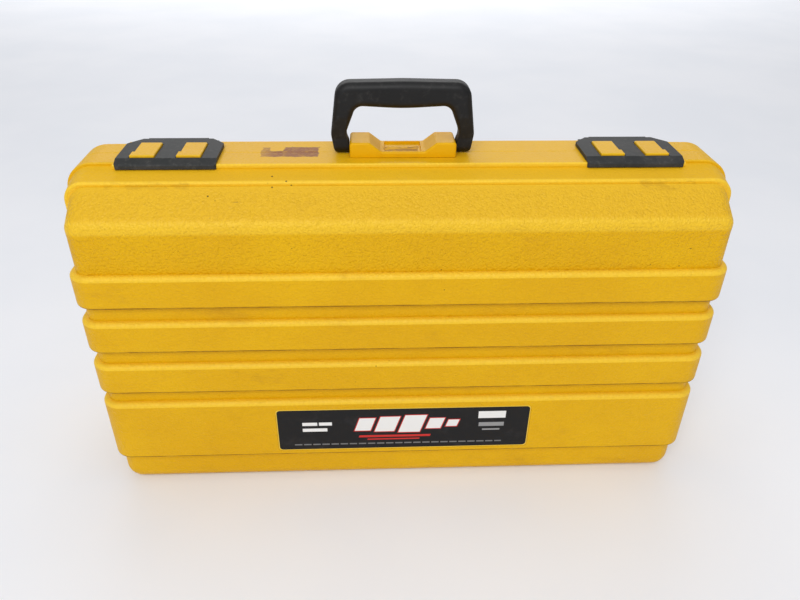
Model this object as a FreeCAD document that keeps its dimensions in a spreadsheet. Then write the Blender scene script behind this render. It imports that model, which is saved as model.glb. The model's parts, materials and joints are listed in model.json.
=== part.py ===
import FreeCAD, Part

import math
import os
import re

# A blow-moulded carrying case for a rotating laser level, standing on its hinge side.
# X runs along the case, -Y is the front (lid) side and Z is up. The origin is the middle of the
# bottom, in the plane where lid and base meet. Each half is drawn on the lid side, and the base
# half is its mirror image.

SIZES = {
    # rim of each half, with the land that carries the latches
    "rim_half_width": 306.5,
    "rim_top": 338,
    "rim_depth": 25,
    "rim_corner": 27,
    "rim_edge": 1.6,
    "parting_edge": 0.7,
    "half_gap": 0.15,
    "land_half_length": 260,
    "land_depth": 30.4,
    # sloping collar between rim and body
    "collar_start": 20,
    "collar_half_width": 305,
    "collar_top": 336.4,
    "collar_corner": 26,
    "collar_depth": 50,
    "collar_end_half_width": 300.8,
    "collar_end_top": 328.8,
    "collar_end_corner": 18,
    "collar_bottom": 6,
    "collar_edge": 2.4,
    # plain body under the ribs, with its shoulder and its rolled front edge
    "body_half_width": 296,
    "body_depth": 84,
    "body_corner": 17,
    "body_top": 326,
    "shoulder_depth": 52,
    "shoulder_foot": 304.7,
    "body_roll": 14,
    # ribs that wrap round front and sides
    "rib_proud": 6,
    "rib_back": 40,
    "rib_top_edge": 4.6,
    "rib_bottom_edge": 1.6,
    "band_count": 3,
    "band_bottom": 124.9,
    "band_height": 33,
    "band_pitch": 49,
    "label_band_bottom": 39,
    "label_band_top": 110.6,
    # hollow of each half, which the foam fills
    "hollow_half_width": 290,
    "hollow_low": 22,
    "hollow_high": 322,
    "hollow_depth": 77,
    "hollow_end_half_width": 287,
    "hollow_end_low": 9,
    "hollow_end_high": 300,
    "hollow_corner": 16,
    # ridge on the base rim and groove in the lid rim
    "ridge_half_width": 300,
    "ridge_top": 330.5,
    "ridge_bottom": 40,
    "ridge_width": 3,
    "ridge_height": 2.4,
    "ridge_corner": 20,
    "ridge_play": 0.5,
    # label on the lowest wide rib
    "label_middle": 1.2,
    "label_half_length": 130.7,
    "label_low": 44.2,
    "label_high": 100,
    "label_corner": 4,
    "label_recess": 1.2,
    "label_thickness": 0.7,
    "label_play": 0.3,
    # hinges in the channel under the case
    "channel_half_width": 30,
    "channel_height": 14,
    "hinge_height": 9.5,
    "hinge_middle": 190,
    "hinge_half_length": 50,
    "hinge_pin_radius": 2.4,
    "knuckle_radius": 4,
    "knuckle_length": 20,
    "knuckle_play": 0.4,
    "running_play": 0.08,
    "leaf_thickness": 2,
    "leaf_end": 26,
    "leaf_start": 5,
    "leaf_screw_radius": 1.8,
    "leaf_screw_length": 4,
    "leaf_screw_line": 17,
    "leaf_screw_pitch": 36,
    "leaf_screw_soft": 0.8,
    # latches: hasps hinged on the base, whose windows drop over lugs on the lid
    "latch_middle": 213,
    "latch_half_length": 45,
    "latch_top": 342,
    "latch_under": 338.5,
    "latch_front": 33,
    "latch_bevel": 24.4,
    "latch_bevel_foot": 338.2,
    "latch_skirt_foot": 334.3,
    "latch_skirt_inner": 31,
    "latch_back": 27.5,
    "latch_chamfer_start": 14,
    "latch_back_half_length": 32,
    "latch_corner": 2.5,
    "latch_pivot_depth": 34.5,
    "latch_pivot_height": 333.5,
    "latch_barrel_radius": 3.6,
    "latch_barrel_half_length": 28,
    "latch_pin_radius": 1.6,
    "latch_play": 0.6,
    "mount_half_length": 36,
    "mount_floor": 327.4,
    "mount_plate": 1.6,
    "mount_back": 49.5,
    "mount_rib": 3,
    "mount_rib_top": 330.5,
    "mount_screw_radius": 1.5,
    "mount_screw_length": 9,
    "mount_screw_line": 43.5,
    "mount_screw_spacing": 20,
    "mount_screw_head": 1.4,
    "mount_screw_soft": 0.7,
    # lugs set in the lid's rim
    "lug_width": 20,
    "lug_step": 2.2,
    "lug_step_depth": 12,
    "lug_front": 23,
    "lug_back": 11.4,
    "lug_top": 344,
    "lug_under": 338.45,
    "lug_edge": 1.3,
    "lug_root_low": 331.5,
    "outer_lug_start": 11,
    "inner_lug_start": -30.5,
    # handle and its bracket
    "handle_pivot_height": 345.5,
    "handle_eye_radius": 7,
    "handle_foot_half_width": 63,
    "handle_hip_half_width": 66,
    "handle_hip_height": 357,
    "handle_shoulder_half_width": 60,
    "handle_shoulder_height": 403.8,
    "handle_shoulder_round": 14,
    "handle_top": 405,
    "handle_under": 381.5,
    "handle_gap_half_top": 42.5,
    "handle_gap_half_hip": 52.6,
    "handle_gap_round": 9,
    "handle_crown_round": 240,
    "handle_thickness": 22,
    "handle_leg_thickness": 14,
    "handle_foot_round": 6.8,
    "handle_neck_low": 353,
    "handle_neck_high": 374,
    "handle_edge": 6.5,
    "bracket_half_length": 49,
    "bracket_half_width": 16,
    "bracket_top": 352,
    "bracket_under": 338.4,
    "bracket_edge": 1.8,
    "saddle_half_top": 31,
    "saddle_half_floor": 20,
    "saddle_floor": 341.5,
    "saddle_lip": 343.5,
    "saddle_lip_width": 3,
    "handle_pin_radius": 2.5,
    "handle_pin_start": 36,
    "handle_pin_end": 58,
    "leg_play": 0.4,
    "bracket_screw_radius": 2,
    "bracket_screw_line": 9,
    "bracket_screw_inner": 12,
    "bracket_screw_outer": 30,
    "bracket_screw_top": 340.6,
    "bracket_screw_seat": 324,
    "bracket_screw_head": 2.4,
    # foam: in each half a thin pad on the floor and a die-cut cradle on the pad
    "foam_gap": 0.5,
    "pad_start": 66,
    "cradle_start": 4,
    "pocket_corner": 18,
    "pocket_low": 46,
    "pocket_high": 284,
    "instrument_left": -258,
    "instrument_right": -28,
    "detector_left": 6,
    "detector_right": 106,
    "charger_left": 136,
    "charger_right": 258,
    "small_pocket_low": 134,
    "tray_high": 104,
    "finger_radius": 19,
}

doc = FreeCAD.newDocument("laser_level_case")
sheet = doc.addObject("Spreadsheet::Sheet", "Sizes")
for row, (alias, value) in enumerate(SIZES.items(), start=1):
    sheet.set(f"A{row}", alias)
    sheet.set(f"B{row}", str(value))
    sheet.setAlias(f"B{row}", alias)
doc.recompute()

TURN_TO_PLANE = {
    "XY": FreeCAD.Rotation(),
    "XZ": FreeCAD.Rotation(FreeCAD.Vector(1, 0, 0), 90),
    "YZ": FreeCAD.Rotation(0.5, 0.5, 0.5, 0.5),
}
TURN_TO_AXIS = {
    "X": FreeCAD.Rotation(FreeCAD.Vector(0, 1, 0), 90),
    "Y": FreeCAD.Rotation(FreeCAD.Vector(1, 0, 0), -90),
    "Z": FreeCAD.Rotation(),
}
NORMALS = {"X": FreeCAD.Vector(1, 0, 0), "Y": FreeCAD.Vector(0, 1, 0)}
SIDES = (("left", "-1"), ("right", "1"))


def cells(text):
    """An expression on the sheet, from one that names its aliases alone."""
    return re.sub(r"[a-z_]+", lambda m: "Sizes." + m[0] if m[0] in SIZES else m[0], str(text))


def number(text):
    return float(sheet.evalExpression(cells(text)))


def bind(thing, **expressions):
    for name, text in expressions.items():
        thing.setExpression(name, cells(text))


def place(thing, x="0", y="0", z="0"):
    for axis, text in (("x", x), ("y", y), ("z", z)):
        thing.setExpression(f"Placement.Base.{axis}", cells(text))


# ---- primitives, sketches and features, with their sizes bound to the sheet


def block(label, x, y, z):
    """A box between two expressions along each axis."""
    thing = doc.addObject("Part::Box", label)
    bind(
        thing,
        Length=f"({x[1]}) - ({x[0]})",
        Width=f"({y[1]}) - ({y[0]})",
        Height=f"({z[1]}) - ({z[0]})",
    )
    place(thing, x[0], y[0], z[0])
    return thing


def rod(label, axis, radius, length, x="0", y="0", z="0"):
    """A cylinder that starts at a point and runs along an axis."""
    thing = doc.addObject("Part::Cylinder", label)
    bind(thing, Radius=radius, Height=length)
    thing.Placement.Rotation = TURN_TO_AXIS[axis]
    place(thing, x, y, z)
    return thing


def outline(label, plane, corners, offset="0"):
    """A closed sketch whose corners are (u, v) or, where they are rounded, (u, v, radius)."""
    points = [FreeCAD.Vector(number(c[0]), number(c[1]), 0) for c in corners]
    radii = [number(c[2]) if len(c) > 2 else 0 for c in corners]
    runs = []
    arcs = []
    for i, (corner, radius) in enumerate(zip(points, radii)):
        back = (points[i - 1] - corner).normalize()
        ahead = (points[(i + 1) % len(points)] - corner).normalize()
        half_turn = back.getAngle(ahead) / 2
        reach = radius / math.tan(half_turn)
        runs.append((corner + back * reach, corner + ahead * reach))
        if radius:
            middle = (back + ahead).normalize() * (radius / math.sin(half_turn) - radius)
            arcs.append(Part.Arc(runs[-1][0], corner + middle, runs[-1][1]))
    edges = []
    for i, run in enumerate(runs):
        if run[0].distanceToPoint(runs[i - 1][1]) > 1e-6:
            edges.append(Part.LineSegment(runs[i - 1][1], run[0]))
    sketch = doc.addObject("Sketcher::SketchObject", label)
    sketch.addGeometry(edges + arcs, False)
    sketch.Placement.Rotation = TURN_TO_PLANE[plane]
    if plane == "XZ":
        place(sketch, y=offset)
    elif plane == "YZ":
        place(sketch, x=offset)
    else:
        place(sketch, z=offset)
    return sketch


def extrude(label, sketch, length, symmetric=False):
    thing = doc.addObject("Part::Extrusion", label)
    thing.Base = sketch
    thing.DirMode = "Normal"
    thing.Solid = True
    thing.Symmetric = symmetric
    bind(thing, LengthFwd=length)
    return thing


def loft(label, first, last):
    thing = doc.addObject("Part::Loft", label)
    thing.Sections = [first, last]
    thing.Solid = True
    thing.Ruled = True
    return thing


def fuse(label, things):
    thing = doc.addObject("Part::MultiFuse", label)
    thing.Shapes = things
    thing.Refine = True
    return thing


def cut(label, base, tools):
    thing = doc.addObject("Part::Cut", label)
    thing.Base = base
    thing.Tool = tools[0] if len(tools) == 1 else fuse(label + "_cutter", tools)
    return thing


def common(label, first, second):
    thing = doc.addObject("Part::Common", label)
    thing.Base = first
    thing.Tool = second
    return thing


def mirror(label, source, axis):
    thing = doc.addObject("Part::Mirroring", label)
    thing.Source = source
    thing.Normal = NORMALS[axis]
    return thing


def group(label, things):
    thing = doc.addObject("Part::Compound", label)
    thing.Links = things
    return thing


def rounded(label, base, rules):
    """The base with its edges filleted, by rules of (radius, which edges)."""
    doc.recompute()
    thing = doc.addObject("Part::Fillet", label)
    thing.Base = base
    chosen = {}
    for i, edge in enumerate(base.Shape.Edges, start=1):
        for radius, wanted in rules:
            if wanted(edge):
                chosen[i] = number(radius)
    thing.Edges = [(i, radius, radius) for i, radius in chosen.items()]
    return thing


def lies_at(axis, text):
    """A rule that an edge lies in the plane where the coordinate along an axis is a value."""
    level = number(text)
    near = 1e-4

    def wanted(edge):
        box = edge.BoundBox
        low = getattr(box, axis + "Min")
        high = getattr(box, axis + "Max")
        return abs(low - level) < near and abs(high - level) < near

    return wanted


def frame_outline(label, half_width, low, high, corner, depth):
    """A rounded rectangle across the case, at a depth in front of the parting plane."""
    corners = [
        (f"-({half_width})", low, corner),
        (half_width, low, corner),
        (half_width, high, corner),
        (f"-({half_width})", high, corner),
    ]
    return outline(label, "XZ", corners, offset=f"-({depth})")


# ---- one half of the case


def hollow_section(label, depth, inset):
    """The section of the tapering hollow at a depth, drawn in by an inset."""
    share = f"({depth}) / hollow_depth"

    def at_depth(start, end):
        return f"({start} + ({end} - {start}) * {share})"

    return frame_outline(
        label,
        at_depth("hollow_half_width", "hollow_end_half_width") + f" - ({inset})",
        at_depth("hollow_low", "hollow_end_low") + f" + ({inset})",
        at_depth("hollow_high", "hollow_end_high") + f" - ({inset})",
        "hollow_corner",
        depth,
    )


def hollow_fill(label, start, end, inset="0"):
    """The stretch of the hollow between two depths."""
    first = hollow_section(label + "_mouth", start, inset)
    return loft(label, first, hollow_section(label + "_floor", end, inset))


def rib(label, low, height):
    """A rib round front and sides, with a soft upper edge and a sharper lower one."""
    corners = [
        ("-body_half_width - rib_proud", "-rib_back"),
        ("-body_half_width - rib_proud", "-body_depth - rib_proud", "body_roll + rib_proud"),
        ("body_half_width + rib_proud", "-body_depth - rib_proud", "body_roll + rib_proud"),
        ("body_half_width + rib_proud", "-rib_back"),
    ]
    slab = extrude(label + "_slab", outline(label + "_outline", "XY", corners, low), height)
    back = lies_at("Y", "-rib_back")
    upper = lies_at("Z", f"({low}) + ({height})")
    lower = lies_at("Z", low)
    return rounded(
        label,
        slab,
        [
            ("rib_top_edge", lambda edge: upper(edge) and not back(edge)),
            ("rib_bottom_edge", lambda edge: lower(edge) and not back(edge)),
        ],
    )


def rim():
    """The flat rim, whose land stands forward between the outer ends of the latches."""
    wide = frame_outline(
        "rim_outline", "rim_half_width", "collar_bottom", "rim_top", "rim_corner", "half_gap"
    )
    plate = rounded(
        "rim",
        extrude("rim_plate", wide, "rim_depth - half_gap"),
        [("rim_edge", lies_at("Y", "-rim_depth")), ("parting_edge", lies_at("Y", "-half_gap"))],
    )
    step = block(
        "land_block",
        ("-land_half_length", "land_half_length"),
        ("-land_depth", "-rim_depth / 2"),
        ("hollow_high", "rim_top"),
    )
    front = lies_at("Y", "-land_depth")
    top = lies_at("Z", "rim_top")
    land = rounded("land", step, [("rim_edge", lambda edge: front(edge) and top(edge))])
    return [plate, land]


def collar():
    first = frame_outline(
        "collar_first",
        "collar_half_width",
        "collar_bottom",
        "collar_top",
        "collar_corner",
        "collar_start",
    )
    last = frame_outline(
        "collar_last",
        "collar_end_half_width",
        "collar_bottom",
        "collar_end_top",
        "collar_end_corner",
        "collar_depth",
    )
    return rounded(
        "collar", loft("collar_loft", first, last), [("collar_edge", lies_at("Y", "-collar_depth"))]
    )


def body():
    """The plain body: straight under the collar, then a shoulder down to its rolled edge."""
    size = ("body_half_width", "0", "body_top", "body_corner")
    straight = extrude(
        "body_straight",
        frame_outline("body_outline", *size, "half_gap"),
        "shoulder_depth - half_gap",
    )
    front = frame_outline(
        "body_front", "body_half_width", "0", "shoulder_foot", "body_corner", "body_depth"
    )
    head = loft("body_head", frame_outline("shoulder_start", *size, "shoulder_depth"), front)
    return [straight, rounded("body_rolled", head, [("body_roll", lies_at("Y", "-body_depth"))])]


def half_case():
    """One half, open at the parting plane, with the hinge channel under its rim."""
    ribs = [
        rib(f"band_{i + 1}", f"band_bottom + {i} * band_pitch", "band_height")
        for i in range(SIZES["band_count"])
    ]
    ribs.append(rib("label_band", "label_band_bottom", "label_band_top - label_band_bottom"))
    outside = fuse("half_outside", body() + [collar()] + rim() + ribs)
    channel = block(
        "hinge_channel",
        ("-2 * rim_half_width", "2 * rim_half_width"),
        ("-channel_half_width", "channel_half_width"),
        ("-channel_height", "channel_height"),
    )
    hollow = hollow_fill("hollow", "0", "hollow_depth")
    return cut("half_case", outside, [hollow, channel])


def rim_ring(label, play):
    """The ridge that stands on the base rim, over its top and down its sides, grown by a play."""
    start = "-2 * ridge_height"
    length = f"3 * ridge_height + ({play})"
    low = "ridge_bottom - 2 * ridge_corner"
    rings = []
    for name, out in (("outer", f"({play})"), ("inner", f"-ridge_width - ({play})")):
        section = frame_outline(
            f"{label}_{name}_outline",
            f"ridge_half_width + {out}",
            low,
            f"ridge_top + {out}",
            f"ridge_corner + {out}",
            start,
        )
        rings.append(extrude(f"{label}_{name}", section, length))
    foot = block(
        label + "_foot",
        ("-rim_half_width", "rim_half_width"),
        ("-channel_half_width", "channel_half_width"),
        ("0", f"ridge_bottom - ({play})"),
    )
    return cut(label, rings[0], [rings[1], foot])


# ---- lid


def lug_root(label, start):
    """The part of a lug that is set in the lid's rim."""
    return block(
        label,
        (f"latch_middle + {start} + lug_edge", f"latch_middle + {start} + lug_width - lug_edge"),
        ("-lug_front + lug_edge", "-half_gap"),
        ("lug_root_low", "lug_under + lug_edge"),
    )


def lug(label, start):
    """A lug that laps over the base rim, wider in front on its outer side."""
    corners = [
        (f"latch_middle + {start}", "-lug_front", "lug_edge"),
        (f"latch_middle + {start} + lug_width + lug_step", "-lug_front", "lug_edge"),
        (f"latch_middle + {start} + lug_width + lug_step", "-lug_step_depth"),
        (f"latch_middle + {start} + lug_width", "-lug_step_depth"),
        (f"latch_middle + {start} + lug_width", "lug_back", "lug_edge"),
        (f"latch_middle + {start}", "lug_back", "lug_edge"),
    ]
    shape = outline(label + "_outline", "XY", corners, "lug_under")
    top = rounded(
        label + "_top",
        extrude(label + "_block", shape, "lug_top - lug_under"),
        [("lug_edge", lies_at("Z", "lug_top"))],
    )
    return fuse(label, [top, lug_root(label + "_root", start)])


def latch_lugs():
    right = [lug("right_outer_lug", "outer_lug_start"), lug("right_inner_lug", "inner_lug_start")]
    left = [mirror(one.Label.replace("right_", "left_"), one, "X") for one in right]
    return group("latch_lugs", right + left)


def lid_shell(half):
    recess = extrude(
        "label_recess", label_outline("recess_outline", "0", "label_recess"), "2 * label_recess"
    )
    sockets = [
        lug_root("right_outer_socket", "outer_lug_start"),
        lug_root("right_inner_socket", "inner_lug_start"),
    ]
    sockets += [mirror(one.Label.replace("right_", "left_"), one, "X") for one in sockets]
    groove = rim_ring("rim_groove", "ridge_play")
    return cut("lid_shell", half, [recess, groove] + sockets + leaf_holes("lid", "-1"))


def label_outline(label, play, depth):
    """The label's outline, drawn in by a play, at a depth behind the face of its rib."""
    corners = [
        (f"label_middle + {x} * (label_half_length - {play})", z, "label_corner")
        for x, z in (
            ("-1", f"label_low + {play}"),
            ("1", f"label_low + {play}"),
            ("1", f"label_high - {play}"),
            ("-1", f"label_high - {play}"),
        )
    ]
    return outline(label, "XZ", corners, f"-body_depth - rib_proud + {depth}")


def label_plate():
    section = label_outline("label_outline", "label_play", "label_recess")
    return extrude("label_plate", section, "label_thickness")


# ---- base


def base_shell(half):
    back = mirror("base_half", half, "Y")
    notch = block(
        "right_mount_notch",
        ("latch_middle - mount_half_length - latch_play", "latch_middle + mount_half_length + latch_play"),
        ("land_depth", "collar_depth + 1"),
        ("mount_floor", "latch_top"),
    )
    barrel_room = block(
        "right_barrel_room",
        ("latch_middle - latch_half_length - latch_play", "latch_middle + latch_half_length + latch_play"),
        ("land_depth", "latch_pivot_depth + latch_barrel_radius + latch_play"),
        ("mount_floor", "latch_top"),
    )
    cuts = [notch, barrel_room, mirror("left_mount_notch", notch, "X")]
    cuts.append(mirror("left_barrel_room", barrel_room, "X"))
    cuts += bracket_screw_rods("shank_room", "bracket_screw_seat - 1", "rim_top + 1")
    head_room = "2 * bracket_screw_radius + leg_play"
    cuts += bracket_screw_rods("head_room", "hollow_end_high", "bracket_screw_seat", head_room)
    for side, sign in SIDES:
        for x in mount_screw_places(sign):
            hole = rod(f"{side}_mount_hole", "Z", "mount_screw_radius", "2 * mount_screw_length")
            place(hole, x, "mount_screw_line", "mount_floor - mount_screw_length")
            cuts.append(hole)
    shell = cut("base_body", back, cuts + leaf_holes("base", "1"))
    return fuse("base_shell", [shell, rim_ring("rim_ridge", "0")])


# ---- foam


def foam_pad(label):
    """The thin pad on the floor of the hollow."""
    return hollow_fill(label, "pad_start", "hollow_depth", "foam_gap")


def foam_cradle(label, pockets):
    """The thick layer on the pad, with its pockets cut right through."""
    layer = hollow_fill(label + "_layer", "cradle_start", "pad_start", "foam_gap")
    return cut(label, layer, pockets)


def pocket(label, left, right, low, high):
    """A round-cornered pocket."""
    places = ((left, low), (right, low), (right, high), (left, high))
    corners = [(x, z, "pocket_corner") for x, z in places]
    return extrude(label, outline(label + "_outline", "XZ", corners), "hollow_depth")


def instrument_pocket(label):
    """The pocket for the instrument, with a finger hollow in the middle of each side."""
    space = pocket(label, "instrument_left", "instrument_right", "pocket_low", "pocket_high")
    middle = "(pocket_low + pocket_high) / 2"
    hollows = [
        rod(f"{label}_finger_{i + 1}", "Y", "finger_radius", "hollow_depth", x, "-hollow_depth", middle)
        for i, x in enumerate(("instrument_left", "instrument_right"))
    ]
    return [space] + hollows


def base_pockets():
    return instrument_pocket("base_instrument") + [
        pocket("detector", "detector_left", "detector_right", "small_pocket_low", "pocket_high"),
        pocket("charger", "charger_left", "charger_right", "small_pocket_low", "pocket_high"),
        pocket("tray", "detector_left", "charger_right", "pocket_low", "tray_high"),
    ]


# ---- hinges: two knuckled leaves and a pin on each side of the middle


def leaf_screw_places(side):
    steps = ("-leaf_screw_pitch", "0", "leaf_screw_pitch")
    return [f"{side} * hinge_middle + {step}" for step in steps]


def leaf_holes(label, half):
    """Blind holes up into the rim of one half for the screws of both hinge leaves."""
    holes = []
    for side, sign in SIDES:
        for x in leaf_screw_places(sign):
            length = "leaf_screw_length + channel_height / 2"
            hole = rod(f"{side}_{label}_leaf_hole", "Z", "leaf_screw_radius", length)
            place(hole, x, f"{half} * leaf_screw_line", "channel_height / 2")
            holes.append(hole)
    return holes


def leaf_screws(label, half):
    """Screws from under both leaves of one half up into its rim."""
    screws = []
    line = f"{half} * leaf_screw_line"
    under = "channel_height - leaf_thickness"
    foot = f"{under} - leaf_screw_radius"
    for side, sign in SIDES:
        for i, x in enumerate(leaf_screw_places(sign), start=1):
            name = f"{label}_{side}_{i}"
            shank = rod(name + "_shank", "Z", "leaf_screw_radius", "leaf_thickness + leaf_screw_length")
            place(shank, x, line, under)
            head = rod(name + "_head", "Z", "1.8 * leaf_screw_radius", "leaf_screw_radius", x, line, foot)
            soft = rounded(name + "_soft_head", head, [("leaf_screw_soft", lies_at("Z", foot))])
            screws.append(fuse(name, [shank, soft]))
    return group(label, screws)


def knuckles(half):
    """The stretches of the hinge that belong to one half: the base has three and the lid two."""
    base = [("-2.5", "-1.5"), ("-0.5", "0.5"), ("1.5", "2.5")]
    lid = [("-1.5", "-0.5"), ("0.5", "1.5")]
    play = "0" if half == "1" else "knuckle_play"
    return [
        (
            f"hinge_middle + {low} * knuckle_length + {play}",
            f"hinge_middle + {high} * knuckle_length - {play}",
        )
        for low, high in (base if half == "1" else lid)
    ]


def hinge_leaf(label, half):
    """A leaf of the right hinge, screwed under the rim, with its knuckles round the pin."""
    under = "channel_height - leaf_thickness"
    edges = ("leaf_start", "leaf_end") if half == "1" else ("-leaf_end", "-leaf_start")
    reach = ("0", "leaf_start") if half == "1" else ("-leaf_start", "0")
    play = "0" if half == "1" else "running_play"
    ends = ("hinge_middle - hinge_half_length", "hinge_middle + hinge_half_length")
    pieces = [block(label + "_plate", ends, edges, (under, "channel_height"))]
    bores = []
    for i, (low, high) in enumerate(knuckles(half), start=1):
        name = f"{label}_knuckle_{i}"
        along = (f"({high}) - ({low})", low, "0", "hinge_height")
        pieces.append(block(name + "_tongue", (low, high), reach, (under, "channel_height - half_gap")))
        pieces.append(rod(name, "X", "knuckle_radius", *along))
        bores.append(rod(name + "_bore", "X", f"hinge_pin_radius + {play}", *along))
    for i, x in enumerate(leaf_screw_places("1"), start=1):
        hole = rod(f"{label}_hole_{i}", "Z", "leaf_screw_radius", "channel_height")
        place(hole, x, f"{half} * leaf_screw_line")
        bores.append(hole)
    return cut(label, fuse(label + "_solid", pieces), bores)


def hinge_pin():
    return rod(
        "right_hinge_pin",
        "X",
        "hinge_pin_radius",
        "2 * hinge_half_length",
        "hinge_middle - hinge_half_length",
        "0",
        "hinge_height",
    )


# ---- latches


def latch_window(label, start):
    """The window for one lug, which follows its step with a play all round."""
    high = ("latch_under - 1", "latch_top + 1")
    low = f"latch_middle + {start} - latch_play"
    back = block(
        label + "_back",
        (low, f"latch_middle + {start} + lug_width + latch_play"),
        ("-lug_front - latch_play", "lug_back + latch_play"),
        high,
    )
    front = block(
        label + "_front",
        (low, f"latch_middle + {start} + lug_width + lug_step + latch_play"),
        ("-lug_front - latch_play", "-lug_step_depth + latch_play"),
        high,
    )
    return [back, front]


def latch_plate():
    """The hasp's plate and skirt, bevelled in front and narrower behind."""
    side = [
        ("-latch_bevel", "latch_top", "2"),
        ("-latch_front", "latch_bevel_foot", "1"),
        ("-latch_front", "latch_skirt_foot", "0.5"),
        ("-latch_skirt_inner", "latch_skirt_foot", "0.5"),
        ("-latch_skirt_inner", "latch_under"),
        ("latch_back", "latch_under"),
        ("latch_back", "latch_top", "1"),
    ]
    plan = [
        ("latch_middle - latch_half_length", "-latch_front", "latch_corner"),
        ("latch_middle + latch_half_length", "-latch_front", "latch_corner"),
        ("latch_middle + latch_half_length", "latch_chamfer_start", "latch_corner"),
        ("latch_middle + latch_back_half_length", "latch_back", "latch_corner"),
        ("latch_middle - latch_back_half_length", "latch_back", "latch_corner"),
        ("latch_middle - latch_half_length", "latch_chamfer_start", "latch_corner"),
    ]
    length = extrude(
        "latch_side",
        outline("latch_side_outline", "YZ", side, "latch_middle - latch_half_length"),
        "2 * latch_half_length",
    )
    height = extrude(
        "latch_plan",
        outline("latch_plan_outline", "XY", plan, "latch_skirt_foot - 1"),
        "latch_top - latch_skirt_foot + 2",
    )
    return common("latch_plate", length, height)


def latch():
    """The right hasp: a plate with two windows, and an arm down to the barrel on its pin."""
    side = [
        ("latch_back - latch_barrel_radius", "latch_under"),
        ("latch_skirt_inner", "latch_under"),
        ("latch_skirt_inner", "latch_pivot_height"),
        ("latch_pivot_depth + latch_barrel_radius", "latch_pivot_height"),
        ("latch_pivot_depth + latch_barrel_radius", "latch_pivot_height + 2", "1.5"),
        ("latch_back + 1", "latch_top", "2"),
        ("latch_back - latch_barrel_radius", "latch_top"),
    ]
    start = "latch_middle - latch_barrel_half_length"
    arm_outline = outline("latch_arm_outline", "YZ", side, start)
    arm = extrude("latch_arm", arm_outline, "2 * latch_barrel_half_length")
    along = ("2 * latch_barrel_half_length", start, "latch_pivot_depth", "latch_pivot_height")
    barrel = rod("latch_barrel", "X", "latch_barrel_radius", *along)
    bore = rod("latch_bore", "X", "latch_pin_radius + running_play", *along)
    windows = latch_window("outer_window", "outer_lug_start")
    windows += latch_window("inner_window", "inner_lug_start")
    return cut("right_latch", fuse("latch_solid", [latch_plate(), arm, barrel]), [bore] + windows)


def mount_screw_places(side):
    return [f"{side} * (latch_middle + {step} * mount_screw_spacing)" for step in ("-1", "1")]


def latch_mount():
    """The right latch's hinge block: a plate in the collar with an ear at each end of the barrel."""
    ends = ("latch_middle - mount_half_length", "latch_middle + mount_half_length")
    floor = "mount_floor"
    top = "mount_floor + mount_plate"
    pieces = [
        block("mount_plate_block", ends, ("latch_skirt_inner", "mount_back"), (floor, top)),
        block("mount_rib_block", ends, ("mount_back - mount_rib", "mount_back"), (floor, "mount_rib_top")),
    ]
    bores = []
    for name, low, high in (
        ("left_ear", ends[0], "latch_middle - latch_barrel_half_length - knuckle_play"),
        ("right_ear", "latch_middle + latch_barrel_half_length + knuckle_play", ends[1]),
    ):
        along = (f"({high}) - ({low})", low, "latch_pivot_depth", "latch_pivot_height")
        reach = ("latch_pivot_depth - latch_barrel_radius", "latch_pivot_depth + latch_barrel_radius")
        pieces.append(block(name, (low, high), reach, (floor, "latch_pivot_height")))
        pieces.append(rod(name + "_round", "X", "latch_barrel_radius", *along))
        bores.append(rod(name + "_bore", "X", "latch_pin_radius", *along))
    for i, x in enumerate(mount_screw_places("1"), start=1):
        hole = rod(f"mount_hole_{i}", "Z", "mount_screw_radius", "mount_plate")
        place(hole, x, "mount_screw_line", floor)
        bores.append(hole)
    return cut("right_latch_mount", fuse("mount_solid", pieces), bores)


def latch_pin():
    return rod(
        "right_latch_pin",
        "X",
        "latch_pin_radius",
        "2 * mount_half_length",
        "latch_middle - mount_half_length",
        "latch_pivot_depth",
        "latch_pivot_height",
    )


def mount_screws():
    screws = []
    line = "mount_screw_line"
    seat = "mount_floor + mount_plate"
    top = lies_at("Z", f"{seat} + mount_screw_head")
    for side, sign in SIDES:
        for i, x in enumerate(mount_screw_places(sign), start=1):
            name = f"{side}_mount_screw_{i}"
            shank = rod(name + "_shank", "Z", "mount_screw_radius", "mount_plate + mount_screw_length - 1")
            place(shank, x, line, "mount_floor - mount_screw_length + 1")
            head = rod(name + "_head", "Z", "1.8 * mount_screw_radius", "mount_screw_head", x, line, seat)
            soft = rounded(name + "_soft_head", head, [("mount_screw_soft", top)])
            screws.append(fuse(name, [shank, soft]))
    return group("latch_mount_screws", screws)


# ---- handle


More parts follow.
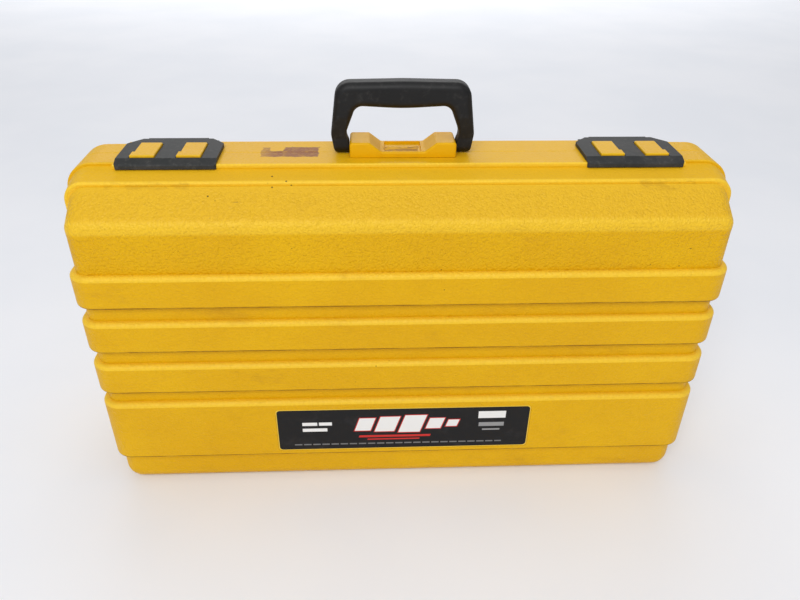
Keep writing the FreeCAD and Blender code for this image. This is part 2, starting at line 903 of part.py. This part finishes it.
def handle():
    """The swinging handle: a thick rounded bow, slimmer at the legs that hold the pins."""
    pivot_height = "handle_pivot_height"
    foot = f"{pivot_height} - handle_eye_radius"
    right = [
        ("bracket_half_length + leg_play", foot),
        ("handle_foot_half_width", foot, "handle_eye_radius"),
        ("handle_hip_half_width", "handle_hip_height", "18"),
        ("handle_shoulder_half_width", "handle_shoulder_height", "handle_shoulder_round"),
    ]
    inner = [
        ("handle_gap_half_top", "handle_under + 1.6", "handle_gap_round"),
        ("handle_gap_half_hip", "handle_hip_height", "handle_shoulder_round"),
        ("bracket_half_length + leg_play", "handle_hip_height - 8", "6"),
    ]
    crown = [("0", "handle_top", "handle_crown_round")]
    belly = [("0", "handle_under - 0.8", "handle_crown_round")]

    def mirrored(corners):
        return [(f"-({c[0]})", *c[1:]) for c in reversed(corners)]

    bow = right + crown + mirrored(right) + mirrored(inner) + belly + inner
    bow_outline = outline("handle_outline", "XZ", bow, "handle_thickness / 2")
    slab = extrude("handle_slab", bow_outline, "handle_thickness")
    front = lies_at("Y", "-handle_thickness / 2")
    back = lies_at("Y", "handle_thickness / 2")
    above_pivot = number(f"{pivot_height} + 1")

    def round_face(edge):
        return (front(edge) or back(edge)) and edge.BoundBox.ZMax > above_pivot

    soft = rounded("handle_soft", slab, [("handle_edge", round_face)])
    side = [
        ("-handle_leg_thickness / 2", foot, "handle_foot_round"),
        ("handle_leg_thickness / 2", foot, "handle_foot_round"),
        ("handle_leg_thickness / 2", "handle_neck_low", "12"),
        ("handle_thickness / 2", "handle_neck_high", "12"),
        ("handle_thickness / 2", "handle_top + 1"),
        ("-handle_thickness / 2", "handle_top + 1"),
        ("-handle_thickness / 2", "handle_neck_high", "12"),
        ("-handle_leg_thickness / 2", "handle_neck_low", "12"),
    ]
    taper = extrude(
        "handle_taper",
        outline("handle_side_outline", "YZ", side, "-handle_hip_half_width - 1"),
        "2 * handle_hip_half_width + 2",
    )
    deep = "handle_pin_end + leg_play"
    bores = [
        rod(side + "_handle_bore", "X", "handle_pin_radius + running_play", deep, x, "0", pivot_height)
        for side, x in (("left", f"-({deep})"), ("right", "0"))
    ]
    return cut("carry_handle", common("handle_shape", soft, taper), bores)


def bracket_screw_rods(label, low, high, radius="bracket_screw_radius"):
    """A rod at each of the bracket's screws, between two heights."""
    places = ("-bracket_screw_outer", "-bracket_screw_inner", "bracket_screw_inner", "bracket_screw_outer")
    return [
        rod(f"{label}_{i}", "Z", radius, f"({high}) - ({low})", x, "bracket_screw_line", low)
        for i, x in enumerate(places, start=1)
    ]


def bracket():
    """The handle's bracket on the base rim, with a saddle in its top and lips along it."""
    face = [
        ("-bracket_half_length", "rim_top"),
        ("bracket_half_length", "rim_top"),
        ("bracket_half_length", "bracket_top", "3"),
        ("saddle_half_top", "bracket_top", "3"),
        ("saddle_half_floor", "saddle_lip", "4"),
        ("-saddle_half_floor", "saddle_lip", "4"),
        ("-saddle_half_top", "bracket_top", "3"),
        ("-bracket_half_length", "bracket_top", "3"),
    ]
    face_outline = outline("bracket_outline", "XZ", face, "bracket_half_width")
    slab = extrude("bracket_slab", face_outline, "2 * bracket_half_width")
    front = lies_at("Y", "-bracket_half_width")
    back = lies_at("Y", "bracket_half_width")
    floor = number("rim_top + 0.1")

    def round_face(edge):
        return (front(edge) or back(edge)) and edge.BoundBox.ZMax > floor

    soft = rounded("bracket_soft", slab, [("bracket_edge", round_face)])
    pivot_height = "handle_pivot_height"
    half_floor = "saddle_half_floor - saddle_lip_width"
    half_width = "bracket_half_width - saddle_lip_width"
    saddle = block(
        "bracket_saddle",
        (f"-({half_floor})", half_floor),
        (f"-({half_width})", half_width),
        ("saddle_floor", "bracket_top"),
    )
    lid_side = block(
        "bracket_lid_room",
        ("-bracket_half_length - 1", "bracket_half_length + 1"),
        ("-bracket_half_width - 1", "0"),
        ("rim_top - 1", "bracket_under"),
    )
    bores = [
        rod(side + "_bracket_bore", "X", "handle_pin_radius", "bracket_half_length", x, "0", pivot_height)
        for side, x in (
            ("left", "-handle_pin_start - bracket_half_length"),
            ("right", "handle_pin_start"),
        )
    ]
    bores += bracket_screw_rods("bracket_hole", "rim_top - 1", "bracket_screw_top")
    return cut("handle_bracket", soft, [saddle, lid_side] + bores)


def bracket_screws():
    """Screws from inside the base up into the bracket, their heads sunk in the wall."""
    seat = "bracket_screw_seat"
    shanks = bracket_screw_rods("bracket_shank", seat, "bracket_screw_top")
    under = f"{seat} - bracket_screw_head"
    heads = bracket_screw_rods("bracket_head", under, seat, "2 * bracket_screw_radius")
    screws = [fuse(f"bracket_screw_{i + 1}", [shanks[i], heads[i]]) for i in range(len(heads))]
    return group("bracket_screws", screws)


def handle_pin():
    return rod(
        "right_handle_pin",
        "X",
        "handle_pin_radius",
        "handle_pin_end - handle_pin_start",
        "handle_pin_start",
        "0",
        "handle_pivot_height",
    )


def pair(right):
    """A right-hand piece and its mirror image on the left."""
    return [right, mirror(right.Label.replace("right_", "left_"), right, "X")]


half_solid = half_case()
base_cradle = foam_cradle("cradle_of_base", base_pockets())
parts = [
    lid_shell(half_solid),
    base_shell(half_solid),
    label_plate(),
    latch_lugs(),
    foam_pad("foam_lid_pad"),
    foam_cradle("foam_lid_cradle", instrument_pocket("lid_instrument")),
    mirror("foam_base_pad", foam_pad("pad_of_base"), "Y"),
    mirror("foam_base_cradle", base_cradle, "Y"),
    leaf_screws("hinge_base_screws", "1"),
    leaf_screws("hinge_lid_screws", "-1"),
    mount_screws(),
    handle(),
    bracket(),
    bracket_screws(),
]
parts += pair(hinge_leaf("right_hinge_base_leaf", "1")) + pair(hinge_leaf("right_hinge_lid_leaf", "-1"))
parts += pair(hinge_pin()) + pair(latch()) + pair(latch_mount()) + pair(latch_pin()) + pair(handle_pin())

doc.recompute()
for thing in doc.Objects:
    if {"Invalid", "Error"} & set(thing.State):
        raise RuntimeError(f"{thing.Label} failed: {thing.State}")
os.makedirs("parts", exist_ok=True)
for thing in parts:
    if thing.Shape.isNull() or not thing.Shape.isValid():
        raise RuntimeError(f"{thing.Label} has a bad shape")
    thing.Shape.exportStep(f"parts/{thing.Label}.step")
    print(thing.Label, len(thing.Shape.Solids), round(thing.Shape.Volume))
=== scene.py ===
import json
import math

import bmesh
import bpy
import numpy as np
from mathutils import Matrix, Vector


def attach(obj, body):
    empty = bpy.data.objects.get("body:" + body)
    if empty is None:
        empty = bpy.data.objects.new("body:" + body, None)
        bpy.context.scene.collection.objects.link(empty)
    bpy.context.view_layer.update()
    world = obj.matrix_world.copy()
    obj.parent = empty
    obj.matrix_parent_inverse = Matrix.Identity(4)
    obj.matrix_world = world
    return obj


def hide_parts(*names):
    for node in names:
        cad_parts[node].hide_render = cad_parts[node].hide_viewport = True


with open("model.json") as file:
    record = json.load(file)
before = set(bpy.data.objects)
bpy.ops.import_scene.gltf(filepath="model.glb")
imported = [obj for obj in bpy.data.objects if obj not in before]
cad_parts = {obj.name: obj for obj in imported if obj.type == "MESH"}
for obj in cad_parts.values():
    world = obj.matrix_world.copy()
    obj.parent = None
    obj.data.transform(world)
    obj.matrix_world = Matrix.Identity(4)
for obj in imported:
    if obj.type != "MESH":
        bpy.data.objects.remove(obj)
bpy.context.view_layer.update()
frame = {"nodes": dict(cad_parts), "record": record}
MM = 0.001

# ---- node helper: one material is built from short expressions


class Net:
    """The nodes of one material. A value is a number, a colour as a tuple, or a socket.

    x, y, z and up are the place and the upward facing in the object's own frame.
    """

    def __init__(self, name):
        self.material = bpy.data.materials.new(name)
        self.material.use_nodes = True
        self.tree = self.material.node_tree
        self.shader = self.tree.nodes["Principled BSDF"]
        own = self.node("ShaderNodeTexCoord").outputs
        self.place = own["Object"]
        self.x, self.y, self.z = self.node("ShaderNodeSeparateXYZ", Vector=self.place).outputs
        self.up = self.node("ShaderNodeSeparateXYZ", Vector=own["Normal"]).outputs["Z"]

    def node(self, kind, settings=None, **inputs):
        made = self.tree.nodes.new(kind)
        for key, value in (settings or {}).items():
            setattr(made, key, value)
        for key, value in inputs.items():
            self.put(made.inputs[key.replace("_", " ")], value)
        return made

    def put(self, socket, value):
        if isinstance(value, bpy.types.NodeSocket):
            self.tree.links.new(value, socket)
        elif isinstance(value, tuple) and len(value) == 3 and socket.type == "RGBA":
            socket.default_value = (*value, 1)
        else:
            socket.default_value = value

    def math(self, operation, *values):
        made = self.node("ShaderNodeMath", {"operation": operation})
        for socket, value in zip(made.inputs, values):
            self.put(socket, value)
        return made.outputs[0]

    def add(self, *values):
        total = values[0]
        for value in values[1:]:
            total = self.math("ADD", total, value)
        return total

    def times(self, *values):
        total = values[0]
        for value in values[1:]:
            total = self.math("MULTIPLY", total, value)
        return total

    def most(self, *values):
        total = values[0]
        for value in values[1:]:
            total = self.math("MAXIMUM", total, value)
        return total

    def span(self, value, low, high, start=0.0, end=1.0):
        """Runs smoothly from start to end as the value goes from low to high."""
        made = self.node("ShaderNodeMapRange", {"interpolation_type": "SMOOTHSTEP"})
        for key, given in (("Value", value), ("From Min", low), ("From Max", high)):
            self.put(made.inputs[key], given)
        made.inputs["To Min"].default_value = start
        made.inputs["To Max"].default_value = end
        return made.outputs[0]

    def band(self, value, low, high, soft):
        """One between two places in millimetres, falling to zero over a soft edge outside."""
        low, high, soft = low * MM, high * MM, soft * MM
        return self.times(
            self.span(value, low - soft, low), self.span(value, high, high + soft, 1.0, 0.0)
        )

    def patch(self, across, up, low, high, soft):
        """One in a rectangle, from its low corner to its high one in millimetres."""
        return self.times(
            self.band(across, low[0], high[0], soft), self.band(up, low[1], high[1], soft)
        )

    def noise(self, scale, detail=3.0, roughness=0.5, stretch=None):
        vector = self.place
        if stretch:
            vector = self.node("ShaderNodeMapping", Vector=vector, Scale=stretch).outputs[0]
        made = self.node("ShaderNodeTexNoise", Vector=vector, Scale=scale, Detail=detail)
        made.inputs["Roughness"].default_value = roughness
        return made.outputs["Fac"]

    def cells(self, scale, feature="F1", vector=None):
        """The distance to the nearest of many scattered points."""
        made = self.node(
            "ShaderNodeTexVoronoi", {"feature": feature}, Vector=vector or self.place, Scale=scale
        )
        return made.outputs["Distance"]

    def mix(self, share, first, second):
        made = self.node("ShaderNodeMix", {"data_type": "RGBA"})
        self.put(made.inputs[0], share)
        self.put(made.inputs[6], first)
        self.put(made.inputs[7], second)
        return made.outputs[2]

    def bump(self, height, distance, strength=1.0, normal=None):
        made = self.node("ShaderNodeBump", Height=height, Distance=distance, Strength=strength)
        if normal:
            self.put(made.inputs["Normal"], normal)
        return made.outputs[0]

    def finish(self, **inputs):
        for key, value in inputs.items():
            self.put(self.shader.inputs[key.replace("_", " ")], value)
        return self.material


def linear(red, green, blue):
    """A colour of 0 to 255 as the linear one that a shader takes."""
    return tuple(
        (v / 255 / 12.92) if v / 255 <= 0.04045 else ((v / 255 + 0.055) / 1.055) ** 2.4
        for v in (red, green, blue)
    )


# ---- materials

# where the shell's ribs, edges and roll lie, in millimetres
BAND_BOTTOMS = (39.0, 124.9, 173.9, 222.9)
BAND_TOPS = (110.6, 157.9, 206.9, 255.9)
ABOVE_BANDS = (262, 268)
ROLL_HEIGHT = (297, 304)
ROLL_DEPTH = (66, 74)
COLLAR_EDGE_DEPTH = (47.8, 49.8)
LAND_EDGE_DEPTH = (28.8, 30.6)
RIM_HEIGHT = (337, 337.6)

# colours of the shell, of its wear and of its dirt, and of the painted light on it: a paler sheen
# for the slopes, a highlight for the edges, and shade with the dirt in the creases and the grain's
# valleys
YELLOWS = (linear(225, 171, 1), linear(231, 179, 2), linear(214, 158, 2))
SLOPE_SHEEN = linear(235, 188, 44)
RUBBED_AND_HIGHLIT = linear(255, 214, 64)
CREASE_DIRT_AND_SHADE = linear(112, 66, 4)
SMEAR = linear(176, 124, 34)
SCRATCH = linear(120, 82, 28)
SPECK = linear(58, 42, 22)
VALLEY_DIRT_AND_SHADE = linear(180, 124, 8)
TAPE = linear(134, 74, 44)
TAR = linear(48, 34, 20)
GRIME = linear(134, 88, 26)


def edge_wear_and_highlights(net, depth):
    """Lighter colour on the top edges of the ribs, the front edges of collar and land, and the roll:
    wear and a painted highlight.
    """
    tops = [net.band(net.z, top - 4.2, top - 0.2, 1.0) for top in BAND_TOPS]
    return net.most(
        net.times(net.most(*tops), net.span(net.up, 0.02, 0.12)),
        net.times(
            net.band(depth, *COLLAR_EDGE_DEPTH, 0.8), net.span(net.z, *(h * MM for h in ABOVE_BANDS))
        ),
        net.times(net.band(depth, *LAND_EDGE_DEPTH, 0.6), net.span(net.z, 0.334, 0.3355)),
        net.times(
            net.band(net.z, *ROLL_HEIGHT, 4), net.span(depth, *(d * MM for d in ROLL_DEPTH)), 0.8
        ),
    )


def crease_dirt_and_shade(net, depth):
    """Dirt and painted shade in the creases under the ribs, and a trace of it above them."""
    lined = net.most(*(net.band(net.z, low - 2.2, low + 0.9, 1.4) for low in BAND_BOTTOMS))
    ledge = net.most(*(net.band(net.z, top - 0.6, top + 1.0, 1.2) for top in BAND_TOPS))
    return net.times(
        net.add(net.times(lined, 0.95), net.times(ledge, 0.06)),
        net.span(depth, 30 * MM, 42 * MM),
        net.span(net.up, -0.9, -0.4, 0.25, 1.0),
        net.span(net.noise(38.0, 4.0, 0.65, (1, 1, 3)), 0.30, 0.62, 0.35, 1.0),
    )


def shell_material():
    """Moulded polyethylene with a pebble grain, dirt and painted shade in its creases, rubbed edges
    with a painted highlight, and a painted sheen on its slopes.
    """
    net = Net("shell_yellow")
    depth = net.math("ABSOLUTE", net.y)
    large = net.noise(7.0, 4.0, 0.55)
    small = net.noise(60.0, 5.0, 0.6)
    fine = net.noise(900.0, 2.0, 0.5)
    fresh, full, dull = YELLOWS

    colour = net.mix(net.span(large, 0.35, 0.68), fresh, full)
    colour = net.mix(net.times(net.span(small, 0.42, 0.7), 0.16), colour, dull)
    # the slopes get the most of a paler yellow, a painted light and sheen from above, and the flat
    # top less so
    slope_sheen = net.times(net.span(net.up, 0.15, 0.7, 0.0, 0.7), net.span(net.up, 0.95, 0.99, 1.0, 0.3))
    colour = net.mix(slope_sheen, colour, SLOPE_SHEEN)
    # lighter rubbed edges: wear, and a painted highlight along the rib tops, the collar and land
    # edges and the roll
    colour = net.mix(net.times(edge_wear_and_highlights(net, depth), 0.55), colour, RUBBED_AND_HIGHLIT)
    # darker creases under the ribs: dirt, and painted shade where the ribs overhang
    dirt_and_shade = crease_dirt_and_shade(net, depth)
    colour = net.mix(dirt_and_shade, colour, CREASE_DIRT_AND_SHADE)

    # dusty smears, thin scratches and small specks
    smear = net.times(net.span(net.noise(11.0, 6.0, 0.7, (1, 1, 2.4)), 0.56, 0.74), 0.30)
    colour = net.mix(smear, colour, SMEAR)
    scratch = net.times(
        net.span(net.noise(30.0, 3.0, 0.6, (1.2, 1.2, 22)), 0.71, 0.76),
        net.span(net.noise(5.0, 2.0, 0.5), 0.50, 0.62),
        0.5,
    )
    colour = net.mix(scratch, colour, SCRATCH)
    specks = net.times(
        net.span(net.cells(95.0), 0.035, 0.085, 1.0, 0.0),
        net.span(net.noise(13.0, 2.0, 0.5), 0.60, 0.68),
        0.75,
    )
    colour = net.mix(specks, colour, SPECK)
    colour = rim_marks(net, colour)

    # pebble grain, coarse on the plain face and on the roll, finer on top and on the ribs
    wander = net.node("ShaderNodeTexNoise", Vector=net.place, Scale=260.0, Detail=1.0)
    moved = net.node("ShaderNodeVectorMath", {"operation": "MULTIPLY_ADD"})
    net.put(moved.inputs[0], wander.outputs["Color"])
    moved.inputs[1].default_value = (0.0022, 0.0022, 0.0022)
    net.put(moved.inputs[2], net.place)
    pebbles = net.cells(500.0, "SMOOTH_F1", moved.outputs[0])
    coarse = net.span(depth, 50 * MM, 62 * MM, 0.35, 1.0)
    ribs = net.span(net.z, 262 * MM, 250 * MM)
    share = net.math("SUBTRACT", coarse, net.times(ribs, 0.45))
    waves = net.bump(net.noise(16.0, 2.0, 0.5), 1.6 * MM, 0.35)
    grain = net.bump(net.times(pebbles, share), 1.3 * MM, 0.9, waves)
    grain = net.bump(fine, 0.10 * MM, 0.4, grain)
    # darker colour in the valleys of the pebble grain: dirt and painted shade
    valley_dirt_and_shade = net.times(net.span(pebbles, 0.34, 0.62), share, 0.12)
    colour = net.mix(valley_dirt_and_shade, colour, VALLEY_DIRT_AND_SHADE)
    rough = net.add(0.40, net.times(large, 0.10), net.times(dirt_and_shade, 0.25), net.times(smear, 0.3))
    return net.finish(Base_Color=colour, Roughness=rough, Normal=grain, Specular_IOR_Level=0.2)


def tape_residue(net):
    """A brown strip of old tape on the flat of the rim, with a bite out of one corner."""
    ragged = net.math("SUBTRACT", net.noise(120.0, 3.0, 0.6), 0.5)
    across = net.add(net.x, net.times(ragged, 8 * MM))
    along = net.add(net.y, net.times(ragged, 6 * MM))
    strip = net.patch(across, along, (-131, -11.5), (-79, 12), 1.2)
    bite = net.patch(across, along, (-124, 3.5), (-112, 20), 1.4)
    on_top = net.span(net.z, *(h * MM for h in RIM_HEIGHT))
    worn = net.span(net.noise(160.0, 3.0, 0.7), 0.30, 0.52, 0.70, 1.0)
    kept = net.times(strip, net.math("SUBTRACT", 1.0, bite), on_top, worn)
    return net.times(kept, net.span(net.x, -132 * MM, -116 * MM, 0.62, 1.0))


def rim_marks(net, colour):
    """Tape residue on the rim, black dots on the shoulder and grime in the crease above it."""
    colour = net.mix(net.times(tape_residue(net), 0.92), colour, TAPE)
    dots = net.span(net.cells(150.0), 0.10, 0.17, 1.0, 0.0)
    spotted = net.most(
        net.patch(net.x, net.z, (-192, 309), (-168, 322), 4),
        net.patch(net.x, net.z, (-118, 322), (-96, 334), 4),
    )
    front = net.span(net.y, -40 * MM, -30 * MM, 1.0, 0.0)
    colour = net.mix(net.times(dots, spotted, front, 0.85), colour, TAR)
    streaks = net.span(net.noise(70.0, 5.0, 0.7, (1, 1, 4)), 0.42, 0.60)
    grimy = net.most(
        net.patch(net.x, net.z, (214, 324), (262, 328), 3),
        net.patch(net.x, net.z, (-262, 325.5), (-190, 328), 2),
    )
    return net.mix(net.times(streaks, grimy, front, 0.22), colour, GRIME)


def plain_plastic(name, base, worn, scale, dust, shine):
    """Fine-grained plastic with some dust and a slightly uneven gloss."""
    net = Net(name)
    cloud = net.noise(scale, 4.0, 0.6)
    colour = net.mix(net.span(cloud, 0.38, 0.66), linear(*base), linear(*worn))
    dusty = net.times(net.span(net.noise(scale * 5, 5.0, 0.7), 0.5, 0.72), dust)
    colour = net.mix(dusty, colour, linear(150, 146, 140))
    grains = net.bump(net.noise(1500.0, 2.0, 0.6), 0.06 * MM, 0.6)
    spread = net.add(0.46, net.times(cloud, 0.12), net.times(dusty, 0.4))
    return net.finish(
        Base_Color=colour, Roughness=spread, Normal=grains, Specular_IOR_Level=shine
    )


def bracket_material():
    """Smoother, fuller yellow plastic with a brown smear of old glue in the saddle."""
    net = Net("bracket_yellow")
    cloud = net.noise(30.0, 4.0, 0.6)
    colour = net.mix(net.span(cloud, 0.38, 0.66), linear(231, 175, 3), linear(223, 165, 6))
    ragged = net.times(net.math("SUBTRACT", net.noise(160.0, 4.0, 0.7), 0.5), 9 * MM)
    smear = net.patch(net.add(net.x, ragged), net.add(net.y, ragged), (-17, -9), (14, 3), 1)
    smear = net.times(smear, net.span(net.up, 0.8, 0.95), net.span(net.z, 348 * MM, 346 * MM))
    streaks = net.span(net.noise(110.0, 3.0, 0.6, (1, 2.4, 1)), 0.40, 0.54)
    colour = net.mix(net.times(smear, streaks, 0.7), colour, linear(150, 100, 52))
    return net.finish(
        Base_Color=colour,
        Roughness=net.add(0.34, net.times(cloud, 0.14), net.times(smear, 0.2)),
        Normal=net.bump(net.noise(1500.0, 2.0, 0.6), 0.05 * MM, 0.6),
        Specular_IOR_Level=0.15,
    )


def metal(name, tint, rough):
    """Plated steel with fine drawn lines and dull spots."""
    net = Net(name)
    lines = net.noise(500.0, 3.0, 0.6, (0.12, 1, 1))
    spots = net.noise(90.0, 4.0, 0.6)
    colour = net.mix(net.span(spots, 0.5, 0.72, 0.0, 0.5), linear(*tint), linear(92, 84, 72))
    return net.finish(
        Base_Color=colour,
        Metallic=1.0,
        Roughness=net.add(rough, net.times(lines, 0.15), net.times(spots, 0.12)),
        Normal=net.bump(lines, 0.05 * MM, 0.4),
    )


def foam_material():
    """Open-cell foam: a charcoal colour with small open pores."""
    net = Net("foam_charcoal")
    pores = net.cells(620.0)
    lumps = net.noise(45.0, 4.0, 0.6)
    colour = net.mix(net.span(pores, 0.1, 0.6), linear(26, 27, 30), linear(62, 64, 69))
    colour = net.mix(net.span(lumps, 0.4, 0.75, 0.0, 0.35), colour, linear(88, 90, 95))
    soft = net.bump(net.add(pores, net.times(lumps, 1.5)), 0.8 * MM, 0.7)
    return net.finish(Base_Color=colour, Roughness=0.97, Normal=soft, Sheen_Weight=0.25)


LABEL_SPANS = ((1.2, 130.7), (72.1, 27.9))
LABEL_SOFT = 0.25
LABEL_SLANT = 0.32
LABEL_SLANT_START = 78
BLADES = ((-47, -31, 2.0), (-26, -6, 0.5), (-1, 21, -1.0), (26, 41, 3.5), (46, 57, 6.0))


def label_material():
    """A black glossy plate with plain bars, slanted blades and beam lines in white and red."""
    net = Net("label_print")
    black, white = linear(16, 16, 18), linear(238, 237, 234)
    red, grey = linear(206, 44, 40), linear(150, 150, 150)
    wear = net.noise(50.0, 5.0, 0.65)
    colour = net.mix(net.span(wear, 0.5, 0.75, 0.0, 0.5), black, linear(46, 45, 46))
    slant = net.math("SUBTRACT", net.x, net.times(net.z, LABEL_SLANT))
    leaning = net.add(slant, LABEL_SLANT * LABEL_SLANT_START * MM)

    def bar(across, low, high, z_low, z_high, tint, base):
        shape = net.patch(across, net.z, (low, z_low), (high, z_high), LABEL_SOFT)
        return net.mix(shape, base, tint)

    # slanted white blades with thin red edges, over two red beam lines
    for edge, tint in ((0.9, red), (0.0, white)):
        for low, high, rise in BLADES:
            low_z, high_z = 68.0 + rise - edge, 88.5 - rise + edge
            colour = bar(leaning, low - edge, high + edge, low_z, high_z, tint, colour)
    colour = bar(leaning, -40, 34, 60.6, 63.2, red, colour)
    colour = bar(leaning, -30, 24, 57.0, 58.4, red, colour)
    # two rows of plain bars on the left, and three plain bars on the right
    for low, high, z_low, z_high, tint in (
        (-103, -88, 78, 82, white),
        (-86, -73, 78, 82, white),
        (-103, -78, 70, 74, white),
        (78, 106, 84, 93, white),
        (79, 105, 73, 78, grey),
        (83, 101, 67.5, 69.3, grey),
    ):
        colour = bar(net.x, low, high, z_low, z_high, tint, colour)
    # a bright yellow border line with round corners: a painted highlight of the recess edge around
    # the plate
    outward = []
    for along, (middle, half) in zip((net.x, net.z), LABEL_SPANS):
        off = net.math("ABSOLUTE", net.math("SUBTRACT", along, middle * MM))
        outward.append(net.math("MAXIMUM", net.math("SUBTRACT", off, (half - 5) * MM), 0.0))
    past_corner = net.math("SQRT", net.add(*(net.math("POWER", off, 2.0) for off in outward)))
    border_highlight = net.span(past_corner, 3.6 * MM, 4.0 * MM)
    colour = net.mix(border_highlight, colour, linear(244, 206, 74))
    # a thin dashed line along the bottom
    dashes = net.span(net.math("FRACT", net.times(net.x, 105.0)), 0.16, 0.22)
    line = net.times(net.patch(net.x, net.z, (-114, 51.2), (104, 52.6), LABEL_SOFT), dashes)
    colour = net.mix(net.times(line, 0.6), colour, grey)
    return net.finish(
        Base_Color=colour,
        Roughness=net.add(0.24, net.times(wear, 0.22)),
        Normal=net.bump(wear, 0.12 * MM, 0.3),
        Specular_IOR_Level=0.25,
    )


foam_charcoal = foam_material()
FINISHES = {
    "shell_yellow": shell_material(),
    "bracket_yellow": bracket_material(),
    "latch_black": plain_plastic("latch_black", (50, 52, 52), (62, 62, 62), 40.0, 0.12, 0.15),
    "handle_black": plain_plastic("handle_black", (10, 10, 11), (16, 16, 17), 30.0, 0.05, 0.35),
    "label_black": label_material(),
    "foam_grey": foam_charcoal,
    "steel": metal("steel", (190, 190, 194), 0.28),
    "dark_steel": metal("dark_steel", (96, 96, 98), 0.36),
}
slots = {part["node"]: part["material_slot"] for part in frame["record"]["subparts"]}
for name, thing in frame["nodes"].items():
    for place in thing.material_slots:
        place.material = FINISHES[slots[name]]

# ---- foam: remeshed from the cut solids, softened, with an egg-crate face in the lid

FOAM_VOXEL = 5 * MM
EGG_PITCH = 34 * MM
EGG_DEPTH = 13 * MM
EGG_LAYER = 30 * MM
LUMP_SIZE = 22 * MM
LUMP_DEPTH = 1.4 * MM


def egg_crate(points):
    """Presses the front layer of a cradle into rows of peaks and hollows."""
    x, y, z = points.T
    into = y.max() - y
    turn = 2 * math.pi / EGG_PITCH
    peak = 0.5 + 0.25 * (np.sin(x * turn) + np.sin(z * turn))
    share = np.clip(1 - into / EGG_LAYER, 0, 1)
    points[:, 1] -= EGG_DEPTH * (1 - peak) * share


def foam_piece(name, node, body, crate=False):
    """The cut solid of a node as foam: soft edges, uneven skin, and egg-crate if asked."""
    piece = bpy.data.objects.new(name, frame["nodes"][node].data.copy())
    bpy.context.collection.objects.link(piece)
    remesh = piece.modifiers.new("remesh", "REMESH")
    remesh.mode = "VOXEL"
    remesh.voxel_size = FOAM_VOXEL
    lumps = bpy.data.textures.new(name + "_lumps", "CLOUDS")
    lumps.noise_scale = LUMP_SIZE
    uneven = piece.modifiers.new("uneven", "DISPLACE")
    uneven.texture = lumps
    uneven.texture_coords = "LOCAL"
    uneven.mid_level = 1.0
    uneven.strength = LUMP_DEPTH
    graph = bpy.context.evaluated_depsgraph_get()
    baked = bpy.data.meshes.new_from_object(piece.evaluated_get(graph), depsgraph=graph)
    piece.modifiers.clear()
    piece.data = baked
    if crate:
        points = np.empty(len(baked.vertices) * 3)
        baked.vertices.foreach_get("co", points)
        points = points.reshape(-1, 3)
        egg_crate(points)
        baked.vertices.foreach_set("co", points.ravel())
    baked.polygons.foreach_set("use_smooth", [True] * len(baked.polygons))
    baked.materials.clear()
    baked.materials.append(foam_charcoal)
    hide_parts(node)
    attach(piece, body)


foam_piece("base_cradle_foam", "foam_base_cradle", "base")
foam_piece("base_pad_foam", "foam_base_pad", "base")
foam_piece("lid_cradle_foam", "foam_lid_cradle", "lid", crate=True)
foam_piece("lid_pad_foam", "foam_lid_pad", "lid")

# ---- floor, light and camera

scene = bpy.context.scene
scene.view_settings.view_transform = "Standard"
FLOOR_HALF = 12


def floor():
    """A wide, pale, slightly uneven floor."""
    net = Net("floor_paper")
    cloud = net.noise(3.0, 3.0, 0.5)
    colour = net.mix(net.span(cloud, 0.3, 0.7), linear(240, 243, 249), linear(245, 247, 252))
    made = net.finish(
        Base_Color=colour, Roughness=0.9, Normal=net.bump(net.noise(700.0), 0.05 * MM, 0.3)
    )
    mesh = bpy.data.meshes.new("floor")
    built = bmesh.new()
    bmesh.ops.create_grid(built, x_segments=8, y_segments=8, size=FLOOR_HALF)
    built.to_mesh(mesh)
    built.free()
    mesh.materials.append(made)
    thing = bpy.data.objects.new("floor", mesh)
    scene.collection.objects.link(thing)


def area_light(name, place, aim, size, power):
    """A white rectangular light at a place, turned towards another."""
    light = bpy.data.lights.new(name, "AREA")
    light.shape = "RECTANGLE"
    light.size, light.size_y = size
    light.energy = power
    thing = bpy.data.objects.new(name, light)
    thing.location = place
    thing.rotation_euler = (Vector(aim) - Vector(place)).to_track_quat("-Z", "Y").to_euler()
    scene.collection.objects.link(thing)


floor()
world = bpy.data.worlds.new("studio")
world.use_nodes = True
world.node_tree.nodes["Background"].inputs["Color"].default_value = (0.98, 0.98, 1.0, 1)
world.node_tree.nodes["Background"].inputs["Strength"].default_value = 0.42
scene.world = world
area_light("key", (-0.35, -2.1, 2.3), (0, 0, 0.15), (2.0, 1.3), 50)
area_light("overhead", (0.1, 0.2, 2.6), (0, 0, 0.2), (2.4, 1.8), 8)
area_light("far_floor", (0.0, 4.2, 2.0), (0, 3.6, 0), (5.0, 1.6), 78)

PITCH, YAW, ROLL = (math.radians(a) for a in (32.4, 2.89, -0.80))
FOCAL_PIXELS = 700
FRAME_PIXELS = 800
SENSOR = 36
CAMERA_PLACE = (-0.032, -0.630, 0.573)
camera_data = bpy.data.cameras.new("camera")
camera_data.sensor_width = SENSOR
camera_data.lens = SENSOR * FOCAL_PIXELS / FRAME_PIXELS
ahead = Vector(
    (math.sin(YAW) * math.cos(PITCH), math.cos(YAW) * math.cos(PITCH), -math.sin(PITCH))
)
level = Vector((math.cos(YAW), -math.sin(YAW), 0))
down = ahead.cross(level)
right = level * math.cos(ROLL) + down * math.sin(ROLL)
below = down * math.cos(ROLL) - level * math.sin(ROLL)
turn = Matrix((right, -below, -ahead)).transposed().to_4x4()
camera = bpy.data.objects.new("camera", camera_data)
camera.matrix_world = Matrix.Translation(CAMERA_PLACE) @ turn
scene.collection.objects.link(camera)
scene.camera = camera
